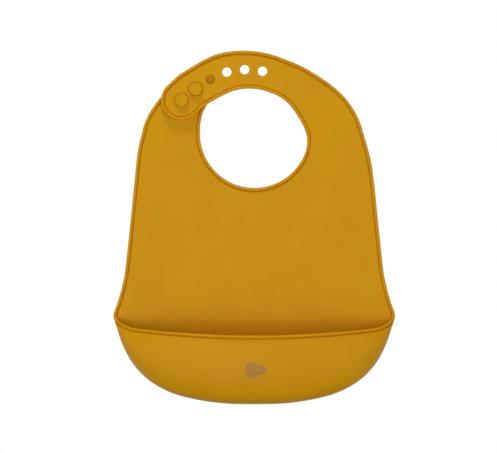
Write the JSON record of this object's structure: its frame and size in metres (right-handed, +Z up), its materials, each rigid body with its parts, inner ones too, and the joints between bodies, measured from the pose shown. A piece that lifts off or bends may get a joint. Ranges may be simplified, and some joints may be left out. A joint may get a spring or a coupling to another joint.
{
  "type": "silicone baby bib",
  "caption": "Flexible one-piece feeding bib: a flat front panel, an open crumb pocket along the bottom and a neck loop closed by studs through a holed tab.",
  "frame": {"origin": "centre of the round neck opening, in the middle of the sheet's thickness", "axes": "+Z up towards the loop's top, +X to the right seen from the front, front and pocket face -Y"},
  "size_m": [0.2054, 0.0389, 0.2577],
  "materials": {
    "silicone": "satin",
    "print": "matte"
  },
  "bodies": {
    "chest": {"chest_panel": "silicone"},
    "apron": {"lower_panel": "silicone"},
    "pocket": {"pocket_wall": "silicone", "pocket_mark": "print"},
    "left_strap": {"left_strap": "silicone", "lower_stud": "silicone", "upper_stud": "silicone"},
    "right_strap": {"right_strap": "silicone"},
    "loop": {"loop_band": "silicone"},
    "tab": {"closure_tab": "silicone"}
  },
  "joints": [
    {"name": "waist_fold", "type": "hinge", "parent": "chest", "child": "apron", "pos_m": [0, -0.00185, -0.075], "axis": [-1, 0, 0], "range_deg": [0, 100], "stiffness_Nm_per_rad": 0.03},
    {"name": "pocket_flex", "type": "hinge", "parent": "apron", "child": "pocket", "pos_m": [0, -0.0009, -0.1977], "axis": [1, 0, 0], "range_deg": [0, 25], "stiffness_Nm_per_rad": 0.08},
    {"name": "left_strap_bend", "type": "hinge", "parent": "chest", "child": "left_strap", "pos_m": [0, 0.00105, 0], "axis": [-1, 0, 0], "range_deg": [0, 80], "stiffness_Nm_per_rad": 0.02},
    {"name": "right_strap_bend", "type": "hinge", "parent": "chest", "child": "right_strap", "pos_m": [0, 0.00105, 0], "axis": [-1, 0, 0], "range_deg": [0, 80], "stiffness_Nm_per_rad": 0.02},
    {"name": "loop_open", "type": "hinge", "parent": "right_strap", "child": "loop", "pos_m": [0.03034, -0.00313, 0.03593], "axis": [0.7738, 0, 0.6335], "range_deg": [0, 100], "stiffness_Nm_per_rad": 0.01, "deforming": ["lower_stud", "upper_stud"]},
    {"name": "tab_lift", "type": "hinge", "parent": "loop", "child": "tab", "pos_m": [-0.03727, -0.00476, 0.03659], "axis": [-0.5095, 0, 0.8605], "range_deg": [0, 60], "stiffness_Nm_per_rad": 0.008, "deforming": ["lower_stud", "upper_stud"]}
  ],
  "couplings": [
    {"joint": "right_strap_bend", "follows": "left_strap_bend", "ratio": 1}
  ]
}
